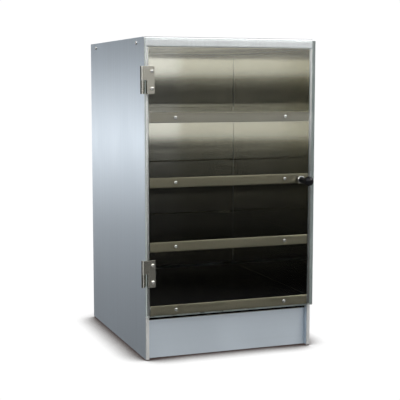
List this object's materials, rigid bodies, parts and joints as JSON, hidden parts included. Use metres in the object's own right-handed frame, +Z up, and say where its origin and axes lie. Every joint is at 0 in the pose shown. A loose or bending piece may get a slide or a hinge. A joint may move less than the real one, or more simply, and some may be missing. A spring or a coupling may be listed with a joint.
{
  "type": "proofing cabinet",
  "caption": "Countertop warming cabinet of folded stainless sheet with fixed shelves, a clear door on lift-off hinges, a recessed kick panel, and heater, fan and rear controls in the base.",
  "frame": {"origin": "on the standing surface, under the middle of the whole object's box (door, knob, hinge barrels and rear dial included)", "axes": "+Z up, -Y out of the door, +X to the right as seen from the front, with the hinges on the -X side"},
  "size_m": [0.3574, 0.4672, 0.61],
  "materials": {
    "skin_steel": "fine vertical brush, cool grey",
    "liner_steel": "brighter brushed sheet, warm grey",
    "shelf_steel": "brushed along the front, warm grey",
    "hinge_steel": "satin pressed steel",
    "screw_steel": "bright pan heads",
    "zinc_steel": "plain zinc-plated steel",
    "bright_chrome": "polished",
    "clear_pane": "clear acrylic sheet, polished faces",
    "black_knob": "black phenolic, glossy",
    "black_plastic": "black moulded nylon",
    "foot_rubber": "moulded rubber",
    "mineral_wool": "pressed mineral wool",
    "element_sheath": "dark oxidised sheath",
    "motor_black": "black enamel",
    "lamp_red": "red lens"
  },
  "bodies": {
    "cabinet": {"left_side_panel": "skin_steel", "left_side_screw_front": "screw_steel", "left_side_screw_rear": "screw_steel", "right_side_panel": "skin_steel", "right_side_screw_front": "screw_steel", "right_side_screw_rear": "screw_steel", "top_panel": "skin_steel", "back_panel": "skin_steel", "liner_left": "liner_steel", "insulation_left": "mineral_wool", "liner_right": "liner_steel", "insulation_right": "mineral_wool", "liner_back": "liner_steel", "liner_ceiling": "liner_steel", "shelf_1": "shelf_steel", "crossbar_1": "zinc_steel", "shelf_1_screw_left": "screw_steel", "shelf_1_screw_right": "screw_steel", "shelf_2": "shelf_steel", "crossbar_2": "zinc_steel", "shelf_2_screw_left": "screw_steel", "shelf_2_screw_right": "screw_steel", "shelf_3": "shelf_steel", "crossbar_3": "zinc_steel", "shelf_3_screw_left": "screw_steel", "shelf_3_screw_right": "screw_steel", "shelf_4": "shelf_steel", "crossbar_4": "zinc_steel", "shelf_4_screw_left": "screw_steel", "shelf_4_screw_right": "screw_steel", "kick_panel": "skin_steel", "bottom_pan": "zinc_steel", "foot_front_left": "foot_rubber", "foot_front_right": "foot_rubber", "foot_rear_left": "foot_rubber", "foot_rear_right": "foot_rubber", "upper_hinge_fixed_leaf": "hinge_steel", "lower_hinge_fixed_leaf": "hinge_steel", "catch_magnet": "black_plastic", "heating_element": "element_sheath", "heater_bracket": "zinc_steel", "fan_motor": "motor_black", "power_inlet": "black_plastic", "switch_body": "black_plastic", "pilot_lamp": "lamp_red", "thermostat": "zinc_steel"},
    "door": {"door_pane": "clear_pane", "upper_hinge_door_leaf": "hinge_steel", "lower_hinge_door_leaf": "hinge_steel", "upper_hinge_screw_top": "screw_steel", "upper_hinge_screw_bottom": "screw_steel", "lower_hinge_screw_top": "screw_steel", "lower_hinge_screw_bottom": "screw_steel", "knob": "black_knob", "knob_ferrule": "bright_chrome", "knob_screw": "screw_steel", "strike_plate": "zinc_steel"},
    "impeller": {"fan_impeller": "zinc_steel"},
    "rocker": {"switch_rocker": "black_knob"},
    "dial": {"thermostat_knob": "black_plastic"}
  },
  "joints": [
    {"name": "door_hinge", "type": "hinge", "parent": "cabinet", "child": "door", "pos_m": [-0.17555, -0.18865, 0.35], "axis": [0, 0, -1], "range_deg": [0, 260]},
    {"name": "impeller_spin", "type": "hinge", "parent": "cabinet", "child": "impeller", "pos_m": [0.05895, 0.04065, 0.045], "axis": [0, -1, 0], "continuous": true},
    {"name": "rocker_tip", "type": "hinge", "parent": "cabinet", "child": "rocker", "pos_m": [0.07995, 0.21925, 0.05], "axis": [1, 0, 0], "range_deg": [0, 14]},
    {"name": "dial_turn", "type": "hinge", "parent": "cabinet", "child": "dial", "pos_m": [0.00395, 0.22365, 0.05], "axis": [0, -1, 0], "range_deg": [0, 270]}
  ]
}
